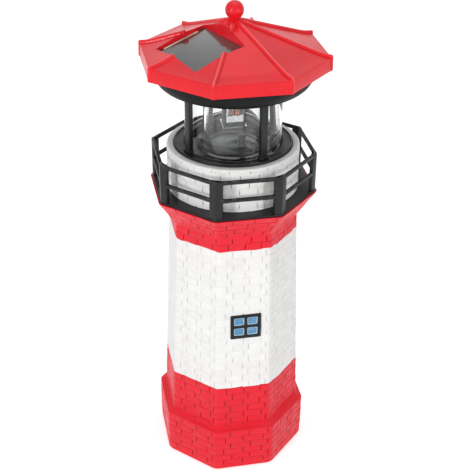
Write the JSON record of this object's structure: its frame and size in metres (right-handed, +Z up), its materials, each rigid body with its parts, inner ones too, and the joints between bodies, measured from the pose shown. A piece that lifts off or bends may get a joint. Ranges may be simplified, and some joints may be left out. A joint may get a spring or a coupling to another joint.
{
  "type": "garden lighthouse ornament",
  "caption": "Eight-sided garden lighthouse lamp: hollow tower with a railed gallery, a lift-off solar lamp head with a turning beacon in a clear lens, and a ribbed roof.",
  "frame": {"origin": "centre of the base, on the surface that the ornament stands on", "axes": "+Z up, -Y out of the wall that carries the window, +X to the right of that wall"},
  "size_m": [0.1252, 0.1252, 0.3641],
  "materials": {
    "painted_tower": "moulded plastic painted red, white and red in bands, brick courses in relief",
    "white_plastic": "matt white moulded plastic, brick courses in relief",
    "red_plastic": "satin red moulded plastic",
    "black_plastic": "satin black moulded plastic",
    "window_black": "matt blue-black paint",
    "window_blue": "satin sky blue",
    "clear_plastic": "clear polished plastic",
    "panel_dark": "dark cells under clear resin",
    "steel": "plated steel",
    "bright_metal": "bright vacuum-plated plastic",
    "brass": "turned brass",
    "lamp_copper": "amber lamp chips",
    "gear_cream": "cream acetal",
    "board_green": "green lacquered board",
    "parts_black": "black components",
    "cell_green": "green sleeve"
  },
  "bodies": {
    "tower": {"tower_plinth": "painted_tower", "tower_shell": "painted_tower", "tower_flare": "painted_tower", "window_frame": "window_black", "window_panes": "window_blue", "base_cover": "black_plastic", "base_screws": "steel", "lantern_drum": "white_plastic", "balcony_deck": "black_plastic", "balcony_posts": "black_plastic", "top_rails": "black_plastic", "middle_rails": "black_plastic"},
    "head": {"lamp_base": "black_plastic", "cage_posts": "black_plastic", "lens_cylinder": "clear_plastic", "inner_tube": "clear_plastic", "head_housing": "black_plastic", "housing_screws": "steel", "roof_cap": "red_plastic", "finial_ball": "red_plastic", "solar_panel": "panel_dark", "cell_holder": "black_plastic", "rechargeable_cell": "cell_green", "contact_spring": "steel", "contact_plate": "steel", "circuit_board": "board_green", "board_parts": "parts_black", "switch_body": "steel", "motor_can": "steel", "spindle_bush": "brass"},
    "beacon": {"beacon_spindle": "steel", "drive_wheel": "gear_cream", "beacon_head": "black_plastic", "beacon_reflectors": "bright_metal", "beacon_lamps": "lamp_copper", "beacon_plate": "bright_metal"},
    "motor_rotor": {"motor_shaft": "steel", "motor_pinion": "gear_cream"},
    "switch_knob": {"switch_slider": "white_plastic"}
  },
  "joints": [
    {"name": "head_lift", "type": "slide", "parent": "tower", "child": "head", "axis": [0, 0, 1], "range_m": [0, 0.03]},
    {"name": "beacon_spin", "type": "hinge", "parent": "head", "child": "beacon", "pos_m": [0, 0, 0.3067], "axis": [0, 0, 1], "continuous": true},
    {"name": "motor_spin", "type": "hinge", "parent": "head", "child": "motor_rotor", "pos_m": [0.0151, 0, 0.3211], "axis": [0, 0, 1], "continuous": true},
    {"name": "switch_slide", "type": "slide", "parent": "head", "child": "switch_knob", "axis": [1, 0, 0], "range_m": [0, 0.003]}
  ],
  "couplings": [
    {"joint": "motor_spin", "follows": "beacon_spin", "ratio": -4}
  ]
}
